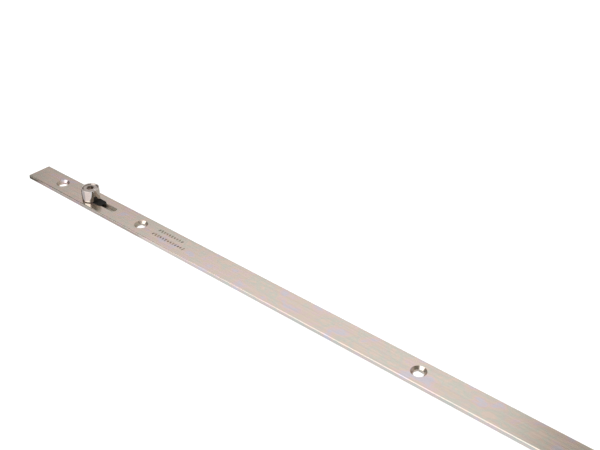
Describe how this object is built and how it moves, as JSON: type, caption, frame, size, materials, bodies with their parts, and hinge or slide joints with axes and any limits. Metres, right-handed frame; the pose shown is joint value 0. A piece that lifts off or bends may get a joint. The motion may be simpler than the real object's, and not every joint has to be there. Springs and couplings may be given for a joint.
{
  "type": "window espagnolette",
  "caption": "Flat faceplate lock for a window sash: a rack gearbox slides a rod that carries adjustable roller cams behind keeps on the frame.",
  "frame": {"origin": "on the faceplate's underside, on its centre line, over the spindle axis", "axes": "+X along the faceplate in the direction the rod moves to lock, +Y across it along the spindle axis, +Z out of its visible face"},
  "size_m": [0.9, 0.016, 0.041],
  "materials": {
    "faceplate_steel": "bright zinc plate, rolled strip",
    "rod_steel": "zinc plated strip",
    "cam_nickel": "polished nickel plate",
    "case_steel": "zinc plated pressing",
    "follower_steel": "sintered steel",
    "sleeve_steel": "turned steel",
    "screw_steel": "zinc plated",
    "rivet_steel": "zinc plated",
    "spring_steel": "blued spring steel",
    "glide_nylon": "moulded nylon"
  },
  "bodies": {
    "frame": {"faceplate": "faceplate_steel", "guide_studs": "rod_steel", "gearbox_case": "case_steel", "gearbox_cover": "case_steel", "case_rivets": "rivet_steel", "handle_screw_sleeves": "sleeve_steel", "case_screws": "screw_steel", "detent_spring": "spring_steel", "spring_rivets": "rivet_steel", "fixing_block_left": "sleeve_steel", "fixing_block_right": "sleeve_steel"},
    "rod": {"drive_rod": "rod_steel", "rack": "rod_steel", "rack_rivets": "rivet_steel", "slot_glide_left": "glide_nylon", "slot_glide_right": "glide_nylon", "spring_washer_left": "spring_steel", "spring_washer_right": "spring_steel"},
    "follower": {"spindle_follower": "follower_steel"},
    "stud_left": {"cam_stud_left": "cam_nickel"},
    "roller_left": {"roller_left": "cam_nickel"},
    "stud_right": {"cam_stud_right": "cam_nickel"},
    "roller_right": {"roller_right": "cam_nickel"}
  },
  "joints": [
    {"name": "rod_slide", "type": "slide", "parent": "frame", "child": "rod", "axis": [1, 0, 0], "range_m": [0, 0.02]},
    {"name": "follower_turn", "type": "hinge", "parent": "frame", "child": "follower", "pos_m": [0, 0, -0.0195], "axis": [0, 1, 0], "range_deg": [0, 90]},
    {"name": "cam_adjust_left", "type": "hinge", "parent": "rod", "child": "stud_left", "pos_m": [-0.3965, 0, 0.0025], "axis": [0, 0, 1], "range_deg": [-180, 180]},
    {"name": "roller_spin_left", "type": "hinge", "parent": "stud_left", "child": "roller_left", "pos_m": [-0.39608, -0.00035, 0.0025], "axis": [0, 0, 1], "continuous": true},
    {"name": "cam_adjust_right", "type": "hinge", "parent": "rod", "child": "stud_right", "pos_m": [0.3765, 0, 0.0025], "axis": [0, 0, 1], "range_deg": [-180, 180]},
    {"name": "roller_spin_right", "type": "hinge", "parent": "stud_right", "child": "roller_right", "pos_m": [0.37692, -0.00035, 0.0025], "axis": [0, 0, 1], "continuous": true}
  ],
  "couplings": [
    {"joint": "follower_turn", "follows": "rod_slide", "rad_per_m": 78.54}
  ]
}
